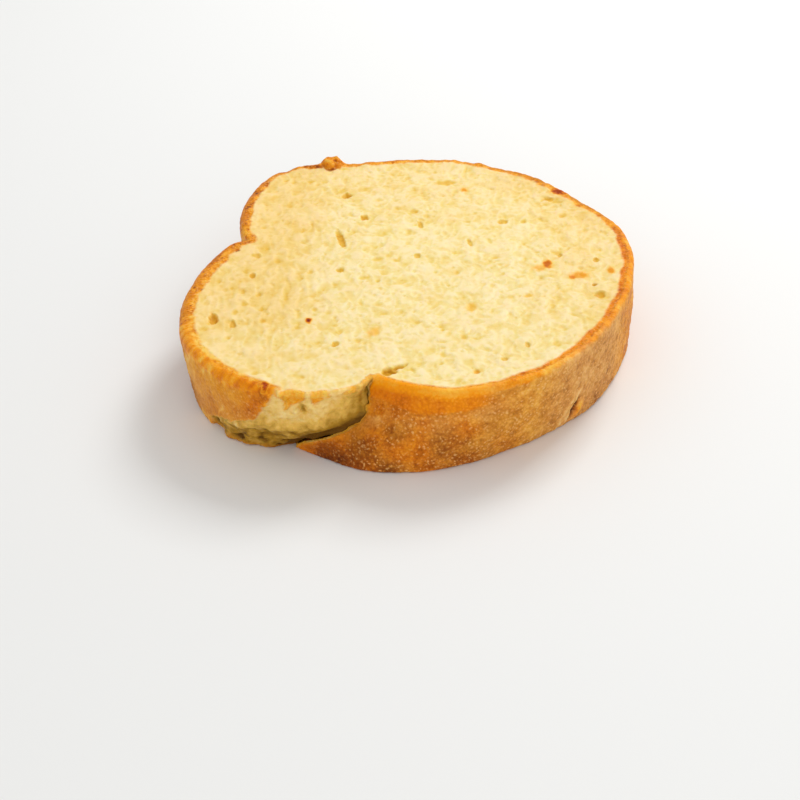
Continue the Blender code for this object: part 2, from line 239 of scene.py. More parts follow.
def curve_through(points):
    """A smooth open curve through points in millimetres, as dense samples in metres."""
    ends = [2 * Vector(points[0]) - Vector(points[1])]
    ends.append(2 * Vector(points[-1]) - Vector(points[-2]))
    line = [ends[0], *(Vector(p) for p in points), ends[1]]
    knots = [0.0]
    for a, b in zip(line, line[1:]):
        knots.append(knots[-1] + math.sqrt((b - a).length))
    samples = []
    for i in range(1, len(line) - 2):
        t0, t1, t2, t3 = knots[i - 1 : i + 3]
        for step in range(CURVE_SAMPLES):
            t = t1 + (t2 - t1) * step / CURVE_SAMPLES
            a1 = line[i - 1].lerp(line[i], (t - t0) / (t1 - t0))
            a2 = line[i].lerp(line[i + 1], (t - t1) / (t2 - t1))
            a3 = line[i + 1].lerp(line[i + 2], (t - t2) / (t3 - t2))
            b1 = a1.lerp(a2, (t - t0) / (t2 - t0))
            b2 = a2.lerp(a3, (t - t1) / (t3 - t1))
            samples.append(tuple(b1.lerp(b2, (t - t1) / (t2 - t1)) * MM))
    return samples


def measured(samples):
    """A curve in plan as its samples and the distance along it to each."""
    spots = np.array(samples)
    steps = np.hypot(*np.diff(spots, axis=0).T)
    return spots, np.concatenate(([0.0], np.cumsum(steps)))


def curve_at(curve, along):
    """Points of a measured curve at distances along it."""
    spots, distance = curve
    return np.stack([np.interp(along, distance, spots[:, axis]) for axis in (0, 1)], axis=-1)


outline = curve_through(BODY) + curve_through(CROWN)
rim_curve = measured([*outline, outline[0]])
body_foot = measured(curve_through(BODY_FOOT))
crown_foot = measured(curve_through(CROWN_FOOT))
RIM_LENGTH = rim_curve[1][-1]


def outward_of(way):
    """Unit vectors to the right of these ways: outward, on an anticlockwise outline."""
    out = np.stack([way[:, 1], -way[:, 0]], axis=-1)
    return out / np.linalg.norm(out, axis=1)[:, None]


def wall_spot(along, depth):
    """Where each column of the wall stands in plan. Places run along the rim from the
    crease, + on the body's side and - on the crown's. Depth is 0 at the toasted face and
    1 at the foot."""
    top = curve_at(rim_curve, along % RIM_LENGTH)
    ahead = curve_at(rim_curve, (along + REACH) % RIM_LENGTH)
    behind = curve_at(rim_curve, (along - REACH) % RIM_LENGTH)
    plain = top - outward_of(ahead - behind) * TAPER
    slid = along + BODY_FOOT_SLIDE * smoothstep(0.0, BODY_FOOT_SLIDE_END, along)
    body = mix(curve_at(body_foot, slid), plain, smoothstep(*BODY_FOOT_FADE, along))
    squeezed = curve_at(crown_foot, -along * CROWN_FOOT_SQUEEZE)
    crown = mix(squeezed, plain, smoothstep(*CROWN_FOOT_FADE, -along))
    foot = np.where((along >= 0)[:, None], body, crown)
    near = np.exp(-np.abs(along) / FLAP_FADE)
    sweep = FLAP_STEADY * depth + (1.0 - FLAP_STEADY) * smoothstep(*FLAP_SWEEP_DEPTHS, depth)
    share = depth**TAPER_POWER * (1.0 - near) + sweep * near
    bow = FLAP_BOW * 4.0 * sweep * (1.0 - sweep) * near
    return mix(top, foot, share) + FLAP_OUT * bow[:, None]


def signed(along):
    """Places along the rim, from minus half its length to plus half."""
    return (along + RIM_LENGTH / 2) % RIM_LENGTH - RIM_LENGTH / 2


def wall_outward(along, depth):
    """The wall's outward direction. At the crease each side keeps its own."""
    low = np.where(along >= 0, np.maximum(along - REACH, 0.0), along - REACH)
    high = np.where(along >= 0, along + REACH, np.minimum(along + REACH, -TINY))
    return outward_of(wall_spot(signed(high), depth) - wall_spot(signed(low), depth))


def rim_value(along, column):
    """A column of the rim's table at places along it."""
    table = np.array(RIM)
    return np.interp(along, table[:, 0] * MM, table[:, column])


def knob_share(spots):
    """0 in the middle of the knob and 1 at its edge, with an uneven edge."""
    away = spots[:, :2] - KNOB_AT
    flat = np.column_stack([spots[:, :2], np.zeros(len(spots))])
    uneven = 1.0 + 0.30 * wave(flat, 2.4 * MM, 3.0 * MM) + 0.12 * wave(flat, 1.1 * MM, 13.0 * MM)
    return np.hypot(away[:, 0] / 1.05, away[:, 1] * 1.1) / (KNOB_RADIUS * uneven)


# Columns and rows of the wall
places = [FLAP_EDGE[0][0]]
slides = [0.0]
sinks = [0.0]
for (place, slide, sink, _), (to_place, to_slide, to_sink, count) in zip(FLAP_EDGE, FLAP_EDGE[1:]):
    for step in range(1, count + 1):
        part_way = step / count
        places.append(place + (to_place - place) * part_way)
        slides.append(slide + (to_slide - slide) * part_way)
        sinks.append(sink + (to_sink - sink) * part_way)
free = RIM_LENGTH - places[-1] + places[0]
count = round(free / WALL_STEP)
first = places[-1]
for step in range(1, count):
    places.append(first + free * step / count)
    slides.append(0.0)
    sinks.append(0.0)
columns = len(places)

turns = np.arange(BOTTOM_ROUND_ROWS) / BOTTOM_ROUND_ROWS * math.pi / 2
row_kind = [("foot", turn) for turn in turns]
row_kind += [("side", step / (WALL_ROWS - 1)) for step in range(WALL_ROWS)]
row_kind += [("top", (step + 1) / TOP_ROUND_ROWS * math.pi / 2) for step in range(TOP_ROUND_ROWS)]
rows = len(row_kind)

place = signed(np.array(places))
round_here = rim_value(place, 1) * MM
height = np.zeros((rows, columns))
inset = np.zeros((rows, columns))
for row, (kind, value) in enumerate(row_kind):
    if kind == "foot":
        height[row] = BOTTOM_ROUND * (1 - math.cos(value))
        inset[row] = BOTTOM_ROUND * (1 - math.sin(value))
    elif kind == "side":
        height[row] = BOTTOM_ROUND + (THICKNESS - round_here - BOTTOM_ROUND) * value
    else:
        height[row] = THICKNESS - round_here * (1 - math.sin(value))
        inset[row] = round_here * (1 - math.cos(value))
height = height.ravel()
inset = inset.ravel()
along = np.tile(place, rows)
slide = np.tile(slides, rows)
sink = np.tile(sinks, rows)
depth = 1.0 - height / THICKNESS

# The wall's plan and what stands out from it. Depths are 0 at the rim and 1 at the foot.
opened = HOLLOW_AT_RIM + (1.0 - HOLLOW_AT_RIM) * smoothstep(0.0, HOLLOW_FULL, depth)
base = wall_spot(along, depth)
out = wall_outward(along, depth)
under_flap = np.array((-FLAP_OUT[1], FLAP_OUT[0]))
heights_only = np.column_stack([np.zeros(len(height)), np.zeros(len(height)), height])
lip_wander = wave(heights_only, LIP_RAGGED_LENGTH, 5 * MM) + 0.6 * wave(heights_only, 0.7 * MM)
lip_ragged = LIP_RAGGED * lip_wander * hump(along, 0.0, LIP_REACH)
lip_move = (slide + lip_ragged) * opened * smoothstep(1.0, 0.92, depth)
base = base + under_flap * lip_move[:, None]
spots = np.column_stack([base, height])
crown_side = along < 0
flap_side = along > FLAP_LINE

tear_end = np.interp(depth, TEAR_END_DEPTHS, TEAR_ENDS)
tear_end = tear_end + TEAR_EDGE_WANDER * wave(spots, 3.2 * MM, 11 * MM)
tear_end = tear_end + TEAR_EDGE_JAG * wave(spots, 1.1 * MM)
torn = smoothstep(tear_end - TEAR_EDGE, tear_end + TEAR_EDGE, along) * (along < FLAP_LINE)
tear_inside = smoothstep(*TEAR_START, along - tear_end)
groove = hump(along, 0.0, GROOVE_WIDTH) * crown_side
bed = hump(along, 0.0, FLAP_BED_REACH) * crown_side

glaze_foot = np.interp(along, GLAZE_PLACES, GLAZE_DEPTHS)
glaze_foot = glaze_foot + 0.02 * wave(spots, 7 * MM, 2 * MM) + 0.02 * wave(spots, 2 * MM)
glaze = smoothstep(glaze_foot + 0.02, glaze_foot - 0.02, depth)
glaze = glaze * smoothstep(GLAZE_END + 2 * MM, GLAZE_END - 5 * MM, along) * (along >= 0)
butter_foot = np.interp(along, BUTTER_PLACES, BUTTER_DEPTHS) + 0.03 * wave(spots, 2.6 * MM, 15 * MM)
shoulder = smoothstep(butter_foot + 0.02, butter_foot - 0.02, depth) * stretch(along, 26, 34, 112, 130)
panel_foot = 0.13 + 0.07 * wave(spots, 5.0 * MM, 25 * MM)
panel = smoothstep(panel_foot + 0.05, panel_foot - 0.05, depth)
panel = 0.90 * panel * stretch(along, -80, -66, -27, -24)

ledge_depth = np.interp(along, LEDGE_PLACES, LEDGE_DEPTHS) + 0.03 * wave(spots, 4 * MM, 7 * MM)
ledge = smoothstep(ledge_depth - 0.14, ledge_depth - 0.01, depth)
ledge = ledge * smoothstep(ledge_depth + 0.14, ledge_depth + 0.03, depth)
below = smoothstep(ledge_depth + 0.02, ledge_depth + 0.14, depth)
recess = below * smoothstep(0.97, 0.86, depth) * (0.25 + 0.75 * tear_inside)
tear_pits = np.clip(wave(spots * (0.7, 0.7, 1.2), 2.3 * MM, 17 * MM) - 0.08, 0.0, 1.0)
tear_pits = tear_pits * below * tear_inside
flake_line = -24.0 * MM + 20.0 * MM * depth + 0.8 * MM * wave(spots, 1.6 * MM, 19 * MM)
flake = hump(along, flake_line, FLAKE_WIDTH) * smoothstep(0.46, 0.34, depth)
flake = flake * smoothstep(-0.3, 0.2, wave(spots, 1.3 * MM, 23 * MM))
flake_notch = hump(along - flake_line, FLAKE_NOTCH, 1.0 * MM) * hump(depth, 0.24, 0.07)

offset = np.where(
    along >= 0,
    FLAP_STEP * np.exp(-np.abs(along) / FLAP_ROLL) * smoothstep(0.0, HOLLOW_FULL, depth),
    -TEAR_SINK * torn * smoothstep(0.0, 0.15, depth)
    + FLAP_BED * bed * smoothstep(0.10, 0.40, depth) * smoothstep(1.0, 0.90, depth),
)
offset = offset - inset - sink * opened
smooth = CRUST_RELIEF * wave(spots, CRUST_RELIEF_LENGTH)
ragged = TEAR_RELIEF * wave(spots, TEAR_RELIEF_LENGTH, 0.1)
ragged = ragged * np.maximum(0.25 + 0.75 * tear_inside, smoothstep(0.70, 0.55, depth))
offset = offset + smooth * (1.0 - torn) + ragged * torn

grain = wave(spots, CRUST_GRAIN_LENGTH, 4 * MM) + 0.7 * wave(spots, 0.75 * MM, 9 * MM)
rough = (1.0 - glaze) * (1.0 - torn) * (0.35 + 0.65 * smoothstep(0.0, 0.35, depth))
rough = rough * (1.0 + 0.8 * stretch(along, -170, -140, -85, -60))
offset = offset + CRUST_GRAIN * grain * rough
fibre = wave(spots * (1.0, 1.0, 2.2), 1.7 * MM, 21 * MM) + 0.6 * wave(spots, 0.8 * MM, 31 * MM)
offset = offset + TEAR_FIBRE * fibre * torn
offset = offset + torn * (LEDGE_PROUD * ledge - LEDGE_HOLLOW * recess * (1.0 - groove))
offset = offset + torn * (TEAR_FLAKE * (flake - 0.7 * flake_notch) - TEAR_PIT * tear_pits * (1.0 - groove))

crack_top, crack_foot = CRACK_DEPTHS
crack_line = CRACK_PLACE + (0.65 - depth) * CRACK_LEAN + 1.2 * MM * wave(spots, 2.4 * MM, 41 * MM)
from_crack = along - crack_line
crack = hump(from_crack, 0.0, CRACK_WIDTH) * smoothstep(crack_top, crack_top + 0.10, depth)
crack = crack * smoothstep(crack_foot, crack_foot - 0.14, depth)
chip = hump(from_crack, CHIP_AT, CHIP_WIDTH) * smoothstep(0.98, 0.88, depth)
chip = chip * smoothstep(crack_top + 0.04, crack_top + 0.16, depth)
ridges = sum(hump(from_crack, at, RIDGE_WIDTH) for at in RIDGES_AT)
ridges = ridges * smoothstep(0.46, 0.60, depth) * smoothstep(1.0, 0.90, depth)
offset = offset - CRACK_SINK * crack + CHIP_PROUD * (chip + 0.7 * ridges)

knob_here = knob_share(spots)
offset = offset + KNOB_REACH * smoothstep(1.0, 0.45, knob_here) * smoothstep(0.55, 1.0, 1.0 - depth)
moved = base + out * offset[:, None]
wall = np.column_stack([moved, height])

# The toasted face: soft white crumb, cut with a bread knife and spread with butter that
# has sunk in. Its open cells are shallow, and a few reach deep.

FACE_WAVE = 0.45 * MM
FACE_WAVE_LENGTH = 42.0 * MM
CRUMB_RELIEF = 0.22 * MM
CRUMB_RELIEF_LENGTH = 5.0 * MM
DIMPLE = 0.5 * MM
DIMPLE_WIDTH = 7.0 * MM
FACE_STEP = 0.50 * MM
RIM_CLEARANCE = 0.34 * MM
RIM_CRAG = 0.18 * MM

# Open cells as x, y, length, width, degrees and depth in millimetres: the deep ones
DEEP_CELLS = (
    (-4.4, -49.9, 5.8, 2.0, 28.0, 0.9),
    (-6.9, -51.9, 4.6, 3.8, 62.0, 1.3),
    (-17.0, 15.0, 12.0, 2.2, 100.0, 0.7),
    (-49.9, -20.4, 5.0, 2.6, 95.0, 0.9),
    (-44.9, -23.3, 4.2, 1.9, 95.0, 0.5),
    (-15.0, 40.4, 3.2, 3.8, 0.0, 0.8),
    (-10.2, 26.2, 2.6, 3.6, 0.0, 0.8),
    (27.0, 17.6, 3.2, 2.8, 0.0, 0.45),
    (40.9, 28.0, 3.4, 2.6, -30.0, 0.4),
    (47.2, -25.4, 2.8, 3.2, 15.0, 0.55),
    (17.4, 7.4, 1.6, 4.4, 10.0, 0.35),
    (48.7, -7.9, 1.9, 2.4, 0.0, 0.4),
    (46.5, -20.3, 1.5, 1.7, 0.0, 0.6),
    (39.9, -3.7, 1.6, 2.4, 0.0, 0.35),
    (-17.4, -1.4, 2.6, 2.3, 0.0, 0.5),
    (-40.5, -0.3, 1.8, 2.8, 0.0, 0.5),
    (4.8, 19.9, 1.7, 5.4, 8.0, 0.35),
    (3.0, 2.9, 2.2, 2.9, 0.0, 0.35),
    (-19.3, -37.3, 2.0, 2.7, 0.0, 0.5),
    (20.5, -50.0, 1.9, 2.3, 0.0, 0.4),
    (13.7, -54.5, 1.7, 2.1, 0.0, 0.5),
    (26.7, -44.8, 1.4, 2.6, 0.0, 0.5),
)
# and the soft ones, where the butter has filled them
SOFT_CELLS = (
    (14.0, 43.9, 8.0, 3.4, -4.0, 0.40),
    (3.6, 27.8, 2.8, 2.9, 0.0, 0.40),
    (32.9, 16.5, 2.0, 2.8, 0.0, 0.40),
    (43.9, 25.6, 2.0, 1.9, 0.0, 0.35),
    (43.6, 17.4, 3.2, 2.6, -10.0, 0.40),
    (50.5, -2.9, 1.4, 2.1, 0.0, 0.30),
    (34.9, -28.1, 1.6, 3.3, -15.0, 0.30),
    (29.4, -22.3, 2.4, 2.0, 0.0, 0.22),
    (14.8, -25.2, 2.6, 4.8, 0.0, 0.40),
    (6.9, -34.7, 1.2, 1.5, 0.0, 0.35),
    (9.9, -14.0, 1.2, 1.5, 0.0, 0.30),
    (24.4, -10.4, 1.4, 2.0, 0.0, 0.28),
    (33.7, -14.0, 1.7, 1.6, 0.0, 0.28),
    (5.6, -49.7, 1.6, 1.8, 0.0, 0.30),
    (-1.4, -51.2, 1.6, 3.2, 10.0, 0.35),
    (4.4, -56.4, 2.4, 2.2, 0.0, 0.25),
    (-7.6, 2.7, 3.0, 2.9, 0.0, 0.28),
    (-2.6, 1.2, 3.2, 2.9, 0.0, 0.28),
    (-39.8, 10.0, 3.0, 2.9, 0.0, 0.35),
    (-45.6, -29.8, 1.6, 2.0, 0.0, 0.40),
    (-28.6, -27.9, 2.0, 3.3, 20.0, 0.35),
    (-13.9, -36.4, 2.0, 2.3, 0.0, 0.28),
    (-23.7, -35.7, 2.0, 1.9, 0.0, 0.25),
    (-19.4, -28.5, 2.0, 2.3, 0.0, 0.25),
    (-42.7, -7.9, 1.7, 3.6, 0.0, 0.35),
    (-38.7, -10.1, 2.0, 3.0, 0.0, 0.35),
    (-42.2, -14.5, 1.9, 3.0, 0.0, 0.30),
    (-37.8, -17.3, 1.9, 3.0, 0.0, 0.38),
    (-37.4, -23.6, 1.9, 2.6, 0.0, 0.32),
    (-44.4, -18.2, 1.6, 2.6, 0.0, 0.25),
    (-25.2, 51.9, 3.4, 2.6, 0.0, 0.35),
    (-30.9, 37.3, 2.2, 4.3, 0.0, 0.22),
)
FINE_CELLS = 1500
CELL_FIELD = (60, 64)  # small cells are strewn this far from the middle
FINE_CELL_LENGTH = (0.9, 4.0)
FINE_CELL_DEPTH = (0.05, 0.24)
THREAD_RELIEF = 0.18 * MM  # threads of crumb that the knife pulled up
BUTTER_RELIEF = 0.17 * MM
STRAND_RELIEF = 0.28 * MM  # long strands on the left, across the knife's way
FINE_CELL_SEED = 41
# Toasted specks as x, y, length, width, degrees and strength
SPECKS = (
    (36.2, -7.8, 3.2, 5.4, 0.0, 0.72),
    (34.0, -9.2, 5.4, 4.4, 10.0, 0.36),
    (43.4, -15.0, 6.2, 5.4, 5.0, 0.44),
    (41.6, -15.6, 2.2, 2.6, 0.0, 0.62),
    (51.6, -14.1, 2.2, 5.2, 0.0, 0.50),
    (18.4, 38.4, 2.8, 3.0, 0.0, 0.50),
    (-25.8, -25.2, 2.0, 3.2, 0.0, 1.0),
    (-9.9, -32.9, 4.0, 5.0, 0.0, 0.32),
    (14.8, -25.2, 3.4, 5.4, 0.0, 0.26),
    (29.4, -22.3, 3.0, 2.8, 0.0, 0.26),
    (13.7, -54.3, 2.4, 2.6, 0.0, 0.34),
    (-36.2, -53.6, 3.6, 4.6, 20.0, 0.95),
    (45.0, 31.6, 7.4, 5.4, -45.0, 0.9),
)


def face_slow(points):
    """The face's slow waves over points in plan."""
    lift = FACE_WAVE * wave(points, FACE_WAVE_LENGTH, 0.3)
    return lift + CRUMB_RELIEF * wave(points, CRUMB_RELIEF_LENGTH, 0.7)


def rim_crags(points, along):
    """How far the crags of the rim stand up. It is smooth along the buttery band."""
    fine = wave(points, 1.2 * MM, 71 * MM) + 0.6 * wave(points, 0.65 * MM, 77 * MM)
    far_side = smoothstep(120 * MM, 150 * MM, along) + (along < -125 * MM)
    notched = wave(points, 3.0 * MM, 79 * MM) * far_side
    buttery = stretch(along, -3, 3, 28, 34)
    chunky = stretch(along, 34, 44, 115, 130)
    smoother = stretch(along, -175, -160, -75, -60)
    crags = fine * (1.0 + 0.7 * chunky - 0.5 * smoother) + 3.2 * notched
    return RIM_CRAG * crags * (1.0 - 0.7 * buttery)


def knob_ridge(points):
    """The low ridge of crust to the left of the knob, from 0 to 1."""
    away = np.linalg.norm((points[:, :2] - KNOB_RIDGE_AT) * (0.45, 1.0), axis=1)
    return hump(away, 0.0, 1.5 * MM * (1.0 + 0.3 * wave(points, 1.5 * MM)))


def knob_height(points):
    """The lift of the knob and of its low ridge to the left."""
    share = knob_share(points)
    lumpy = 1.0 + 0.30 * wave(points, 2.0 * MM, 8 * MM) + 0.18 * wave(points, 0.9 * MM)
    from_dent = np.linalg.norm(points[:, :2] - KNOB_AT - KNOB_DENT, axis=1)
    lift = KNOB_HEIGHT * smoothstep(1.0, 0.30, share) * lumpy
    lift = lift - KNOB_DENT_DEPTH * hump(from_dent, 0.0, KNOB_DENT_WIDTH) * (share < 1.2)
    return lift + KNOB_RIDGE_HEIGHT * knob_ridge(points)


def cell_share(points, x, y, length, width, degrees):
    """The distance from a cell's middle, as a share of the cell's own radius there."""
    away = points[:, :2] - np.array((x, y)) * MM
    turn = math.radians(degrees)
    lengthwise = away[:, 0] * math.cos(turn) + away[:, 1] * math.sin(turn)
    across = away[:, 1] * math.cos(turn) - away[:, 0] * math.sin(turn)
    return np.hypot(lengthwise / (length * MM / 2), across / (width * MM / 2))


def inside(points, ring):
    """True for each point that lies in the closed ring."""
    found = np.zeros(len(points), dtype=bool)
    for a, b in zip(ring, np.roll(ring, -1, axis=0)):
        if a[1] == b[1]:
            continue
        spans = (a[1] > points[:, 1]) != (b[1] > points[:, 1])
        reach = a[0] + (points[:, 1] - a[1]) * (b[0] - a[0]) / (b[1] - a[1])
        found ^= spans & (points[:, 0] < reach)
    return found


def plan_tree(points):
    """A search tree of points in plan."""
    tree = kdtree.KDTree(len(points))
    for i, (x, y) in enumerate(points[:, :2].tolist()):
        tree.insert((x, y, 0.0), i)
    tree.balance()
    return tree


def nearest_in(ring, points):
    """For each point, the nearest of a ring's points and the distance to it."""
    tree = plan_tree(ring)
    found = [tree.find((x, y, 0.0)) for x, y in points[:, :2].tolist()]
    return np.array([f[1] for f in found]), np.array([f[2] for f in found])


def cell_points(tree, middle, length):
    """The numbers of the points that a cell of this length can reach."""
    hits = tree.find_range((middle[0] * MM, middle[1] * MM, 0.0), length * MM * 0.6)
    return np.array([hit[1] for hit in hits], dtype=int)


def staggered(ring, step):
    """A staggered grid over a ring's box: its points, and the column and row of each."""
    low, high = ring.min(axis=0), ring.max(axis=0)
    row_step = step * math.sqrt(3) / 2
    across = np.arange(int((high[0] - low[0]) / step) + 2)
    up = np.arange(int((high[1] - low[1]) / row_step) + 1)
    column, row = (numbers.ravel() for numbers in np.meshgrid(across, up))
    x = low[0] + (column - (row % 2) * 0.5) * step
    return np.column_stack([x, low[1] + row * row_step, np.zeros(len(x))]), column, row


def filled(ring, grid, clearance):
    """Triangles that join a ring and the grid's points inside it, clear of its edge. Gives
    the points, the triangles, and for each point its number in the ring, or else a number
    outside it."""
    grid = grid[inside(grid, ring)]
    grid = grid[nearest_in(ring, grid)[1] > clearance]
    given = [Vector(p[:2]) for p in (*ring.tolist(), *grid.tolist())]
    edges = [(i, (i + 1) % len(ring)) for i in range(len(ring))]
    placed, _, triangles, sources, _, _ = geometry.delaunay_2d_cdt(given, edges, [], 1, TINY)
    source = np.array([s[0] if s else -1 for s in sources])
    return np.array([(p.x, p.y, 0.0) for p in placed]), triangles, source


# The face's points: fine at the large cells and the knob, and every fourth one elsewhere
ring = wall[(rows - 1) * columns :, :2]
grid, grid_column, grid_row = staggered(ring, FACE_STEP / 2)
kept = (grid_row % 2 == 0) & ((grid_column + (grid_row // 2) % 2) % 2 == 0)
kept |= knob_share(grid) < 1.15
for cell in DEEP_CELLS:
    kept |= cell_share(grid, *cell[:5]) < 1.25
face, face_triangles, face_source = filled(ring, grid[kept], RIM_CLEARANCE)
rim_index, edge = nearest_in(ring, face)
face_place = place[rim_index]

uneven = 0.20 * wave(face, 0.9 * MM, 51 * MM) + 0.22 * wave(face, 2.2 * MM, 57 * MM)
# The cells are coloured darker by their depth, as painted shade in the hollows.
pit_shade_and_tone = np.zeros(len(face))
open_depth = np.zeros(len(face))
for cell in DEEP_CELLS:
    share = cell_share(face, *cell[:5]) + uneven
    dent = cell[5] * MM * (1.0 - np.clip(share, 0.0, 1.0) ** 3) * (share < 1.0)
    open_depth = np.maximum(open_depth, dent)
    pit_shade_and_tone = np.maximum(pit_shade_and_tone, smoothstep(1.10, 0.6, share) * min(1.0, 0.55 + 0.40 * cell[5]))
for cell in SOFT_CELLS:
    share = cell_share(face, *cell[:5]) + 1.6 * uneven
    open_depth = np.maximum(open_depth, cell[5] * MM * smoothstep(1.2, 0.15, share))
    pit_shade_and_tone = np.maximum(pit_shade_and_tone, (0.25 + 0.9 * cell[5]) * smoothstep(1.2, 0.4, share))

tree = plan_tree(face)
draw = random.Random(FINE_CELL_SEED)
shortest, longest = FINE_CELL_LENGTH
fine_depth = np.zeros(len(face))
for _ in range(FINE_CELLS):
    middle = [draw.uniform(-reach, reach) for reach in CELL_FIELD]
    length = shortest + (longest - shortest) * draw.random() ** 3
    width = length * draw.uniform(0.4, 0.85)
    degrees = draw.gauss(95.0, 28.0 if middle[0] < -12 else 50.0)
    cell_depth = draw.uniform(*FINE_CELL_DEPTH) * MM
    index = cell_points(tree, middle, length)
    share = cell_share(face[index], *middle, length, width, degrees)
    fine_depth[index] = np.maximum(fine_depth[index], cell_depth * smoothstep(1.1, 0.4, share))
fine_depth = fine_depth * smoothstep(1.5 * MM, 3.0 * MM, edge)

knob_face = np.maximum(smoothstep(1.05, 0.8, knob_share(face)), smoothstep(0.35, 0.6, knob_ridge(face)))
crumb_here = smoothstep(0.3 * MM, 2.2 * MM, edge) * (1.0 - knob_face)
drawn = np.where(face[:, 0] < -12 * MM, 0.30, 0.55)[:, None] * (0.0, 1.0, 0.0) + (1.0, 0.0, 1.0)
warp = np.column_stack([wave(face, 4 * MM, 63 * MM), wave(face, 4 * MM, 65 * MM), np.zeros(len(face))])
threads = 1.0 - np.abs(wave((face + 1.6 * MM * warp) * drawn, 1.9 * MM, 61 * MM)) * 2.6
threads = np.clip(threads, 0.0, 1.0) ** 2
butter = wave(face + 1.0 * MM * warp, 3.6 * MM, 67 * MM) + 0.5 * wave(face, 1.7 * MM, 69 * MM)
strands = wave((face + 1.6 * MM * warp) * (1.0, 0.16, 1.0), 1.5 * MM, 73 * MM)
strands = strands * hump(face[:, 0] / MM, -33, 13) * hump(face[:, 1] / MM, -10, 24)
crumb_lift = crumb_here * (THREAD_RELIEF * threads + BUTTER_RELIEF * butter + STRAND_RELIEF * strands)
# Painted light: the crumb is darker where it dips and paler on the raised threads and butter.
face_hollow_shade = np.clip((fine_depth - crumb_lift) / (0.72 * MM) + 0.16, 0.0, 0.8)
pit_shade_and_tone = np.maximum(pit_shade_and_tone, face_hollow_shade * smoothstep(0.0, 2 * MM, edge))
face[:, 2] = (
    THICKNESS
    + face_slow(face)
    - DIMPLE * smoothstep(0.0, DIMPLE_WIDTH, edge)
    + crumb_lift
    - (open_depth + fine_depth) * crumb_here
    + smoothstep(2.6 * MM, 0.6 * MM, edge) * rim_crags(face, face_place)
    + knob_height(face)
)

# The wall's top follows the face
flat = np.column_stack([wall[:, :2], np.zeros(len(wall))])
fade = (height / THICKNESS) ** SLOW_LIFT_POWER
wall[:, 2] += face_slow(flat) * fade
wall[:, 2] += rim_crags(flat, along) * fade**3
wall[:, 2] += knob_height(flat) * smoothstep(0.80, 1.0, height / THICKNESS)

# The underside: the other cut face, toasted dry. Its crumb is flat where it lies on what
# carries it, and its open cells run up into the slice.

UNDER_STEP = 1.1 * MM
UNDER_CLEARANCE = 0.6 * MM
UNDER_CELLS = 520
UNDER_CELL_SEED = 77
UNDER_SHADE_DEPTH = 1.5 * MM  # a cell this deep gets the full painted shade

ring_under = wall[:columns, :2]
grid, _, _ = staggered(ring_under, UNDER_STEP)
under, under_triangles, under_source = filled(ring_under, grid, UNDER_CLEARANCE)
_, under_edge = nearest_in(ring_under, under)
tree = plan_tree(under)
draw = random.Random(UNDER_CELL_SEED)
under_depth = np.zeros(len(under))
for _ in range(UNDER_CELLS):
    middle = [draw.uniform(-reach, reach) for reach in CELL_FIELD]
    length = 2.4 + 4.6 * draw.random() ** 3
    width = length * draw.uniform(0.55, 0.9)
    index = cell_points(tree, middle, length)
    if len(index):
        share = cell_share(under[index], *middle, length, width, draw.uniform(0, 180))
        dent = draw.uniform(0.2, 0.8) * MM * smoothstep(1.1, 0.1, share)
        under_depth[index] = np.maximum(under_depth[index], dent)
under_depth = under_depth * smoothstep(0.8 * MM, 2.5 * MM, under_edge)
under[:, 2] = under_depth

# The three parts of the surface become one closed mesh
points = [wall]
total = len(wall)
inner_points = []
polygons = []
for row in range(rows - 1):
    for i in range(columns):
        j = (i + 1) % columns
        lower = row * columns
        upper = lower + columns
        polygons.append((lower + i, lower + j, upper + j, upper + i))
for part, triangles, source, first_ring, way in (
    (face, face_triangles, face_source, (rows - 1) * columns, 1),
    (under, under_triangles, under_source, 0, -1),
):
    inner = np.flatnonzero((source < 0) | (source >= columns))
    number = first_ring + source
    number[inner] = total + np.arange(len(inner))
    polygons += [tuple(number[list(t)].tolist()[::way]) for t in triangles]
    points.append(part[inner])
    inner_points.append(inner)
    total += len(inner)
points = np.concatenate(points)

low_corner, high_corner = (np.array(corner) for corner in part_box("toast_slice"))
low, high = points.min(axis=0), points.max(axis=0)
scale = (high_corner - low_corner) / (high - low)
points = low_corner + (points - low) * scale

bread_mesh = bpy.data.meshes.new("bread_slice")
bread_mesh.from_pydata(points.tolist(), [], polygons)
bread_mesh.shade_smooth()
bread = bpy.data.objects.new("bread_slice", bread_mesh)
bpy.context.scene.collection.objects.link(bread)

# What the wall shows from place to place, for the bread's material. First its forms: bits
# of crust on the tear, the flap's lip, tip and foot, the left panel and the glaze's edge.
past_edge = along > 0
knob_wall = smoothstep(1.05, 0.85, knob_here) * smoothstep(0.62, 0.8, 1.0 - depth)
patch_foot = 0.035 + 0.03 * wave(spots, 1.2 * MM, 47 * MM)
for at, reach, foot in TEAR_PATCHES:
    patch_foot = patch_foot + foot * hump(along / MM, at, reach)
patch_foot = patch_foot + 0.08 * wave(spots * (1.0, 1.0, 0.5), 1.6 * MM, 29 * MM)
patchy = 0.15 + 0.85 * smoothstep(-0.1, 0.4, wave(spots, 2.4 * MM, 53 * MM))
torn_top = torn * smoothstep(patch_foot + 0.03, patch_foot - 0.02, depth)
torn_top = torn_top * np.maximum(0.85 * smoothstep(0.06, 0.12, patch_foot), patchy)
torn_foot = torn * smoothstep(0.90, 0.97, depth + 0.05 * wave(spots, 2.2 * MM, 45 * MM))
torn_brink = hump(along - tear_end, -0.7 * MM, 0.9 * MM) * crown_side
wall_crust = np.clip(1.0 - torn + 1.1 * torn_top + 0.6 * torn_foot, 0.0, 1.0)
lip_edge = 0.34 * MM + 0.15 * MM * wave(spots, 1.1 * MM, 33 * MM)
lip_tear = smoothstep(lip_edge + 0.12 * MM, lip_edge - 0.12 * MM, along) * flap_side
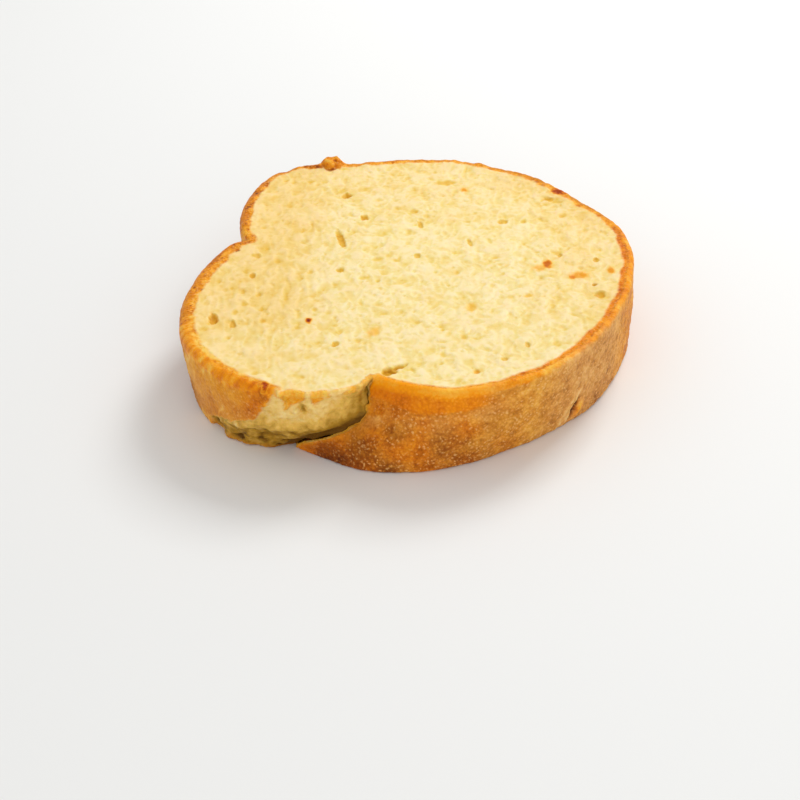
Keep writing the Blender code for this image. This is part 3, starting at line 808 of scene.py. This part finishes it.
lip_tear = lip_tear * smoothstep(0.04, 0.16, depth)
lip = hump(along, 0.5 * MM, 0.6 * MM) * flap_side * smoothstep(0.1, 0.3, depth)
golden_edge = hump(along, 0.0, 3.0 * MM) * flap_side * smoothstep(0.2, 0.45, depth)
flap_here = smoothstep(44 * MM, 24 * MM, along) * past_edge
flap_tip = smoothstep(14 * MM, 4 * MM, along) * past_edge * smoothstep(0.72, 0.92, depth)
flap_foot = hump(along, 11 * MM, 6 * MM) * smoothstep(0.80, 0.95, depth)
low_flap = smoothstep(0.55, 0.80, depth) * stretch(along, 1, 4, 10, 16)
pale_patch = hump(along, 5 * MM, 3.4 * MM) * hump(depth, 0.40, 0.14) * past_edge
pale_patch = pale_patch * smoothstep(-0.3, 0.3, wave(spots, 2.2 * MM, 55 * MM) + 0.2)
below_glaze = smoothstep(glaze_foot, glaze_foot + 0.04, depth) * stretch(along, 6, 12, 30, 38)
below_glaze = below_glaze * smoothstep(glaze_foot + 0.30, glaze_foot + 0.10, depth)
on_left = smoothstep(-72 * MM, -60 * MM, along) * crown_side
left_low = smoothstep(0.45, 0.75, depth) * stretch(along, -76, -66, -48, -38)
left_panel = stretch(along, -66, -56, -26, -22)
corner = hump(along, -30 * MM, 3.6 * MM) * hump(depth, 0.26, 0.16)
flaky = np.clip(1.0 - 6.0 * np.abs(wave(spots * (1.0, 1.0, 0.7), 3.4 * MM, 37 * MM)), 0.0, 1.0)
flaky = flaky * smoothstep(-0.1, 0.35, wave(spots, 6.0 * MM, 39 * MM)) * (1.0 - glaze)
wall_granular = stretch(along, -172, -150, -80, -58)

# How dark the crust is drawn: the rim's own browning, and what each place adds or takes off. The darker
# foot and the dark crack are painted shade.
wall_brown = rim_value(along, 3)
for amount, where in (
    (0.08, wave(spots, 11 * MM, 83 * MM)),
    (0.07, wave(spots, 4 * MM, 87 * MM)),
    (0.12, wave(spots, 6.0 * MM, 49 * MM) * crown_side),
    (0.13, wave(spots, 1.8 * MM, 67 * MM) * stretch(along, 22, 40, 110, 130)),
    (0.32, wave(spots, 1.5 * MM, 59 * MM) * panel),
    (-0.08, smoothstep(0.12, 0.0, depth)),
    # painted shade: darker towards the foot
    (0.06, smoothstep(0.55, 1.0, depth)),
    (0.04, smoothstep(0.25, 0.45, depth) * on_left),
    (0.12, smoothstep(0.04, 0.13, depth) * glaze),
    (-0.17, glaze),
    (-0.09, below_glaze),
    (-0.14, lip),
    (-0.10, lip_tear),
    (-0.09, golden_edge),
    (0.09, flap_here),
    (-0.06, flap_tip),
    (0.12, flap_foot),
    (0.10, low_flap),
    (-0.18, pale_patch),
    # painted shade in the crack
    (0.90, crack),
    (-0.18, chip),
    (-0.34, ridges),
    (-0.22, torn_top * torn),
    (-0.14, torn_brink),
    (-0.12, flaky),
    (-0.16, flaky * on_left),
    (0.16, corner * on_left),
    (0.09, left_low),
    (0.03, knob_wall),
):
    wall_brown = wall_brown + amount * where

# Painted shade on the torn crumb: in the groove, below the ledge, low down and in its holes; plus random
# tone
shade = np.exp(-((np.abs(along) / SHADE_REACH) ** 1.5)) * (0.6 + 0.4 * smoothstep(0.3, 0.8, depth))
shade = shade * (0.78 + 0.22 * smoothstep(0.25, 0.50, depth)) * smoothstep(-0.08, 0.12, depth)
wall_pit_shade_and_tone = torn * (1.12 * shade + 1.6 * tear_pits + 0.24 * below + 0.23 * smoothstep(0.32, 0.52, depth))
wall_pit_shade_and_tone = wall_pit_shade_and_tone + 0.22 * wave(spots, 1.4 * MM, 69 * MM) * smoothstep(0.40, 0.60, depth)
wall_pit_shade_and_tone = wall_pit_shade_and_tone + 0.12 * wave(spots * (1.0, 1.0, 0.4), 1.1 * MM, 75 * MM)
wall_pit_shade_and_tone = np.clip((wall_pit_shade_and_tone + 0.5 * flake_notch - 0.70 * flake) * torn, 0.0, 1.0)

# Where butter baked to a glaze, where the crust is even, tan or granular
greasy = np.clip(0.5 + 1.1 * wave(spots, 6.0 * MM, 35 * MM), 0.0, 1.0)
wall_glaze = np.maximum.reduce([
    glaze,
    0.9 * shoulder,
    panel,
    chip,
    0.75 * greasy * flap_here,
    0.8 * flap_tip,
    0.55 * knob_wall,
    0.55 * wall_granular,
    0.9 * torn_top * torn,
    0.6 * lip,
    (0.36 + 0.5 * corner) * left_panel,
])
wall_glaze = wall_glaze * (1.0 - 0.8 * pale_patch)
wall_glaze = np.maximum(wall_glaze, 0.45 * stretch(along, 70, 86, 112, 128))
wall_calm = np.clip(np.maximum(0.6 * left_panel, 0.9 * glaze) + 0.5 * golden_edge, 0.0, 1.0)
wall_tan = stretch(along, 34, 56, 110, 130) * (1.0 - 0.95 * smoothstep(68 * MM, 88 * MM, along))
paler_left = 0.40 + 0.14 * smoothstep(-38 * MM, -50 * MM, along)
paler_left = paler_left * on_left * smoothstep(-20 * MM, -26 * MM, along)
wall_tan = wall_tan + paler_left * smoothstep(0.20, 0.40, depth)
wall_tan = np.maximum(wall_tan, 0.30 * stretch(along, 8, 20, 50, 60))
wall_tan = wall_tan + 0.8 * pale_patch + 0.4 * below_glaze
speckled = 0.35 + 0.65 * past_edge * smoothstep(2 * MM, 16 * MM, along)
speckled = np.maximum(speckled, np.maximum(wall_granular, 0.6 * left_panel))
speckled = speckled * smoothstep(0.0, 0.1, depth)
wall_scorch = np.zeros(len(wall))
for speck in SPECKS:
    share = cell_share(wall, *speck[:5]) + 0.55 * wave(spots, 0.9 * MM, 51 * MM)
    wall_scorch = np.maximum(wall_scorch, 0.88 * speck[5] * smoothstep(1.15, 0.35, share))
wall_scorch = wall_scorch * smoothstep(0.10, 0.04, depth)

# What the toasted face shows: crust round its rim, butter in the crumb, scorched specks
face_width = rim_value(face_place, 2) * MM
face_width = face_width * (1.0 + 0.35 * wave(face, 3.0 * MM, 91 * MM) + 0.14 * wave(face, 1.0 * MM, 93 * MM))
face_crust = np.maximum(smoothstep(face_width + 0.7 * MM, face_width - 0.5 * MM, edge), knob_face)
torn_rim = smoothstep(-27 * MM, -23 * MM, face_place) * (face_place < 0)
face_crust = face_crust * (1.0 - 0.70 * torn_rim)
inner = smoothstep(0.2 * MM, 1.0 * MM, edge)
orange_rim = stretch(face_place, 24, 40, 112, 128)
face_brown = rim_value(face_place, 3) - 0.06 - 0.12 * inner * (1.0 - orange_rim)
uneven_brown = 0.22 * wave(face, 1.3 * MM, 97 * MM) + 0.20 * wave(face, 3.1 * MM, 99 * MM)
face_brown = face_brown + uneven_brown * (1.0 - 0.45 * orange_rim) + 0.10 * orange_rim
knob_base = smoothstep(0.45, 0.95, knob_share(face)) * knob_face
face_brown = face_brown - 0.04 * knob_face + 0.26 * knob_base * (1.0 + wave(face, 1.4 * MM, 101 * MM))
face_glaze = inner * orange_rim + 0.55 * (1.0 - orange_rim)
face_scorch = np.zeros(len(face))
for speck in SPECKS:
    share = cell_share(face, *speck[:5]) + 1.2 * uneven
    face_scorch = np.maximum(face_scorch, speck[5] * smoothstep(1.15, 0.35, share))
near_side = 1.0 - 0.5 * smoothstep(-15 * MM, -40 * MM, face[:, 1])
face_butter = smoothstep(-14 * MM, -36 * MM, face[:, 0]) * near_side
face_butter = face_butter + 0.65 * smoothstep(26 * MM, 46 * MM, face[:, 0])
face_butter = face_butter + 0.5 * smoothstep(10 * MM, 40 * MM, face[:, 1])
face_butter = np.clip(face_butter + 0.45 * wave(face, 9.0 * MM, 43 * MM), 0.0, 1.0)
face_granular = stretch(face_place, -172, -150, -80, -58) + 0.5 * (np.abs(face_place) > 150 * MM)
face_speckled = np.maximum(0.8 * face_granular, 0.5 * orange_rim)

under_crust = smoothstep(1.6 * MM, 0.8 * MM, under_edge + 0.3 * MM * wave(under, 2 * MM))
under_brown = 0.5 + 0.1 * wave(under, 6 * MM)

# The marks that the material reads: on the wall, on the face and on the underside
no_wall, no_face, no_under = (np.zeros(len(part)) for part in (wall, face, under))
marks = {
    "crust": (wall_crust, face_crust, under_crust),
    "torn": (torn, no_face, no_under),
    "brown": (wall_brown, face_brown, under_brown),
    "glaze": (wall_glaze, face_glaze, no_under),
    # painted shade in hollows, holes and the groove, with random tone on the wall
    "pit_shade_and_tone": (wall_pit_shade_and_tone, pit_shade_and_tone, under_depth / UNDER_SHADE_DEPTH),
    "scorch": (wall_scorch, face_scorch, no_under),
    "granular": (wall_granular * smoothstep(0.45, 0.12, depth), face_granular, no_under),
    "tan": (wall_tan, no_face, no_under),
    "speckled": (speckled, face_speckled, no_under),
    "butter": (no_wall, face_butter, no_under),
    "under": (no_wall, no_face, np.ones(len(under))),
    "calm": (wall_calm, no_face, no_under),
}
face_inner, under_inner = inner_points
for name, (on_wall, on_face, on_under) in marks.items():
    values = np.concatenate([on_wall, on_face[face_inner], on_under[under_inner]])
    attribute = bread_mesh.attributes.new(name, "FLOAT", "POINT")
    attribute.data.foreach_set("value", values.astype(np.float32))


def linear(code):
    """An sRGB hex colour as linear values."""
    shares = [int(code[i : i + 2], 16) / 255 for i in (1, 3, 5)]
    return (*[s / 12.92 if s <= 0.04045 else ((s + 0.055) / 1.055) ** 2.4 for s in shares], 1.0)


def add_node(kind, inputs, **settings):
    """Adds a node to the bread's material with its settings, and sets or links its inputs."""
    node = bread_tree.nodes.new("ShaderNode" + kind)
    for name, value in settings.items():
        setattr(node, name, value)
    for name, value in inputs.items():
        if isinstance(value, bpy.types.NodeSocket):
            bread_tree.links.new(value, node.inputs[name])
        else:
            node.inputs[name].default_value = value
    return node


# White bread, baked, toasted and buttered. Crumb: pale and soft, with a dull buttery sheen; its hollows
# and holes are painted darker olive-yellow, as shade. Crust: golden to brown, granular, glossier where
# butter ran. Its grain is drawn at 0.55 to 0.82 mm, coarser than real, so that it shows.
bread_material = bpy.data.materials.new("buttered_toasted_bread")
bread_material.use_nodes = True
bread_tree = bread_material.node_tree
bread_tree.nodes.clear()
place_of = add_node("TexCoord", {}).outputs["Object"]
mark = {name: add_node("Attribute", {}, attribute_name=name).outputs["Fac"] for name in marks}
drawn_out = {0: place_of, 1: (1.0, 0.55, 1.0)}
drawn_out = add_node("VectorMath", drawn_out, operation="MULTIPLY").outputs[0]

# Noise over real lengths in millimetres, with its detail and its roughness
grains = []
for where, length, detail, rough in (
    (drawn_out, 2.6, 3.0, 0.55),  # the crumb
    (drawn_out, 0.7, 3.0, 0.60),  # and its fine grain
    (place_of, 3.0, 5.0, 0.65),  # the crust's browning
    (place_of, 7.0, 3.0, 0.50),  # its slow drift
    (place_of, 0.55, 3.0, 0.60),  # and its fine grain
    (place_of, 1.6, 2.0, 0.50),  # what shakes the granules out of line
):
    inputs = {"Vector": where, "Scale": 1 / (length * MM), "Detail": detail, "Roughness": rough}
    grains.append(add_node("TexNoise", inputs))
crumb, crumb_fine, crust, crust_slow, crust_fine = (grain.outputs["Fac"] for grain in grains[:5])
shaken = {0: grains[5].outputs["Color"], 1: (1.5 * MM,) * 3, 2: place_of}
shaken = add_node("VectorMath", shaken, operation="MULTIPLY_ADD").outputs[0]
granules, pores = (
    add_node("TexVoronoi", {"Vector": shaken, "Scale": 1 / (length * MM), "Randomness": 1.0})
    for length in (0.82, 1.7)
)
pore = {"Value": pores.outputs["Distance"], "From Min": 0.55, "From Max": 0.10}
pore = add_node("MapRange", pore).outputs[0]

# Weighted sums: what each starts from, and then each source with its weight
summed = {}
for name, total, parts in (
    # The pit mark brings the painted shade of the hollows into the crumb's and the torn crumb's colour.
    ("crumb", -0.04, ((crumb, 0.30), (crumb_fine, 0.08), (pore, 0.12), (mark["pit_shade_and_tone"], 0.80))),
    ("torn", -0.15, ((crumb, 0.46), (crumb_fine, 0.22), (pore, 0.10), (mark["pit_shade_and_tone"], 0.90))),
    ("browning", -0.54, ((crust, 0.46), (crust_fine, 0.34), (crust_slow, 0.32))),
    ("crevice", -0.09, ((granules.outputs["Distance"], 0.20),)),
    ("speck", granules.outputs["Distance"], ((granules.outputs["Color"], 0.36),)),
    ("burnt", pores.outputs["Distance"], ((pores.outputs["Color"], 0.40),)),
    ("crumb bump", crumb_fine, ((crumb, 1.2), (pore, -0.7))),
    ("crust bump", crust_fine, ((granules.outputs["Distance"], -0.9),)),
    ("crust edge", -0.25, ((crust, 0.50), (mark["crust"], 1.0))),
    ("scorch edge", 0.0, ((mark["crust"], 0.30),)),
):
    for source, weight in parts:
        inputs = {0: source, 1: weight, 2: total}
        total = add_node("Math", inputs, operation="MULTIPLY_ADD").outputs[0]
    summed[name] = total

# Values carried from one range to another. Calm crust takes less browning and less bump.
fitted = {}
for name, value, from_min, from_max, to_min, to_max in (
    ("burnt", summed["burnt"], 0.52, 0.24, 0.0, 0.34),
    ("speck", summed["speck"], 0.58, 0.34, 0.0, 1.0),
    ("cluster", crust, 0.37, 0.58, 0.0, 0.68),
    ("unglazed", mark["glaze"], 1.0, 0.7, 0.15, 1.0),
    ("uneasy", mark["calm"], 0.0, 1.0, 1.0, 0.45),
    ("crumb bump", mark["torn"], 0.0, 1.0, 0.28, 1.0),
    ("crust", summed["crust edge"], 0.12, 0.88, 0.0, 1.0),
    ("scorch", mark["scorch"], summed["scorch edge"], 0.44, 0.0, 1.0),
    ("roughness", mark["glaze"], 0.0, 1.0, 0.55, 0.36),
):
    inputs = {"Value": value, "From Min": from_min, "From Max": from_max, "To Min": to_min, "To Max": to_max}
    fitted[name] = add_node("MapRange", inputs).outputs[0]

brown = mark["brown"]
for source, dimmer in (
    (summed["browning"], fitted["uneasy"]),
    (summed["crevice"], mark["speckled"]),
    (fitted["burnt"], mark["granular"]),
):
    brown = add_node("Math", {0: source, 1: dimmer, 2: brown}, operation="MULTIPLY_ADD").outputs[0]
speck = fitted["speck"]
for dimmer in (mark["speckled"], fitted["cluster"], fitted["unglazed"]):
    speck = add_node("Math", {0: speck, 1: dimmer}, operation="MULTIPLY").outputs[0]
lift = {0: fitted["crust"]}
for side, name, dimmer in ((2, "crumb bump", fitted["crumb bump"]), (3, "crust bump", fitted["uneasy"])):
    lift[side] = add_node("Math", {0: summed[name], 1: dimmer}, operation="MULTIPLY").outputs[0]
lift = add_node("Mix", lift, data_type="FLOAT").outputs[0]

# Colours, each from the palest to the darkest
ramp = {}
for name, factor, *stops in (
    ("crumb", summed["crumb"],
     (0.02, "#F8E5BC"), (0.28, "#EFD894"), (0.54, "#E9C866"), (0.82, "#E0AE3A"), (1.0, "#CE941C")),
    ("dry crumb", summed["crumb"],
     (0.02, "#EBC27A"), (0.26, "#DDAA58"), (0.55, "#C48A38"), (1.0, "#96601E")),
    ("torn crumb", summed["torn"],
     (0.08, "#FEDF98"), (0.34, "#EABC5A"), (0.64, "#B08224"), (1.0, "#6A4408")),
    ("crust", brown,
     (0.08, "#F7CA6C"), (0.30, "#EEAA36"), (0.50, "#D2861C"), (0.72, "#9C540C"), (1.0, "#4E1C04")),
    ("tan crust", brown,
     (0.08, "#F7CF90"), (0.30, "#EDB266"), (0.50, "#D69348"), (0.72, "#A66428"), (1.0, "#5A2808")),
    ("glaze", brown,
     (0.12, "#FBC850"), (0.36, "#F69B06"), (0.58, "#DC7600"), (0.78, "#A65000"), (1.0, "#6A2A00")),
    ("scorch", mark["scorch"],
     (0.0, "#F0C050"), (0.30, "#F0B238"), (0.58, "#DE8408"), (0.82, "#B44A04"), (1.0, "#6E1E04")),
):
    colours = add_node("ValToRGB", {"Fac": factor})
    elements = colours.color_ramp.elements
    while len(elements) < len(stops):
        elements.new(0.5)
    for element, (at, code) in zip(elements, stops):
        element.position = at
        element.color = linear(code)
    ramp[name] = colours.outputs["Color"]

# Each layer covers what is before it by its share
crust_layers = ((mark["tan"], ramp["tan crust"]), (mark["glaze"], ramp["glaze"]), (speck, linear("#F0BE78")))
crust_colour = ramp["crust"]
for share, layer in crust_layers:
    crust_colour = add_node("Mix", {0: share, 6: crust_colour, 7: layer}, data_type="RGBA").outputs[2]
buttered = {0: mark["butter"], 6: ramp["crumb"], 7: linear("#FCEFD6")}
colour = add_node("Mix", buttered, data_type="RGBA", blend_type="MULTIPLY").outputs[2]
for share, layer in (
    (mark["torn"], ramp["torn crumb"]),
    (mark["under"], ramp["dry crumb"]),
    (fitted["crust"], crust_colour),
    (fitted["scorch"], ramp["scorch"]),
):
    colour = add_node("Mix", {0: share, 6: colour, 7: layer}, data_type="RGBA").outputs[2]

bump = add_node("Bump", {"Height": lift, "Distance": 0.28 * MM, "Strength": 1.0})
shader = add_node("BsdfPrincipled", {
    "Base Color": colour,
    "Roughness": fitted["roughness"],
    "Normal": bump.outputs[0],
    "IOR": 1.45,
    "Specular IOR Level": 0.13,
    "Subsurface Weight": 0.35,
    "Subsurface Radius": (1.0, 0.65, 0.25),
    "Subsurface Scale": 2.2 * MM,
})
add_node("OutputMaterial", {"Surface": shader.outputs["BSDF"]})
bread_mesh.materials.append(bread_material)

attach(bread, "root")
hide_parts("toast_slice")

# The studio: a plain pale floor, a bright soft light from behind on the right, and pale
# light from all round. The camera looks down on the burst side.

FLOOR_REACH = 3.0
floor_corners = [(x * FLOOR_REACH, y * FLOOR_REACH, 0) for x, y in ((-1, -1), (1, -1), (1, 1), (-1, 1))]
floor_mesh = bpy.data.meshes.new("floor")
floor_mesh.from_pydata(floor_corners, [], [(0, 1, 2, 3)])
floor = bpy.data.objects.new("floor", floor_mesh)
bpy.context.scene.collection.objects.link(floor)
floor_material = bpy.data.materials.new("matt_white_laminate")
floor_material.use_nodes = True
floor_shader = floor_material.node_tree.nodes["Principled BSDF"]
floor_shader.inputs["Base Color"].default_value = linear("#E9E9E7")
floor_shader.inputs["Roughness"].default_value = 0.7
floor_mesh.materials.append(floor_material)

world = bpy.data.worlds.new("studio")
world.use_nodes = True
world.node_tree.nodes["Background"].inputs["Color"].default_value = (1.0, 1.0, 1.0, 1.0)
world.node_tree.nodes["Background"].inputs["Strength"].default_value = 0.68
bpy.context.scene.world = world


def soft_light(name, at, size, power):
    """A square soft light that faces the slice."""
    lamp = bpy.data.lights.new(name, "AREA")
    lamp.size = size
    lamp.energy = power
    light = bpy.data.objects.new(name, lamp)
    light.location = at
    light.rotation_euler = (Vector((0.0, 0.0, 0.01)) - Vector(at)).to_track_quat("-Z", "Y").to_euler()
    bpy.context.scene.collection.objects.link(light)


soft_light("window_light", (0.42, 0.50, 0.62), 0.35, 4.6)
soft_light("front_light", (0.12, -0.85, 0.40), 0.8, 1.8)

CAMERA_AT = (-4.72 * MM, -355.90 * MM, 222.78 * MM)
CAMERA_TILT = math.radians(34.53)
CAMERA_ROLL = math.radians(5.0)
camera_data = bpy.data.cameras.new("camera")
camera_data.lens = 70.0
camera_data.sensor_width = 36.0
camera_data.clip_start = 0.01
camera = bpy.data.objects.new("camera", camera_data)
turn = Matrix.Rotation(math.pi / 2 - CAMERA_TILT, 4, "X") @ Matrix.Rotation(-CAMERA_ROLL, 4, "Z")
camera.matrix_world = Matrix.Translation(CAMERA_AT) @ turn
bpy.context.scene.collection.objects.link(camera)
bpy.context.scene.camera = camera
bpy.context.scene.view_settings.view_transform = "Standard"
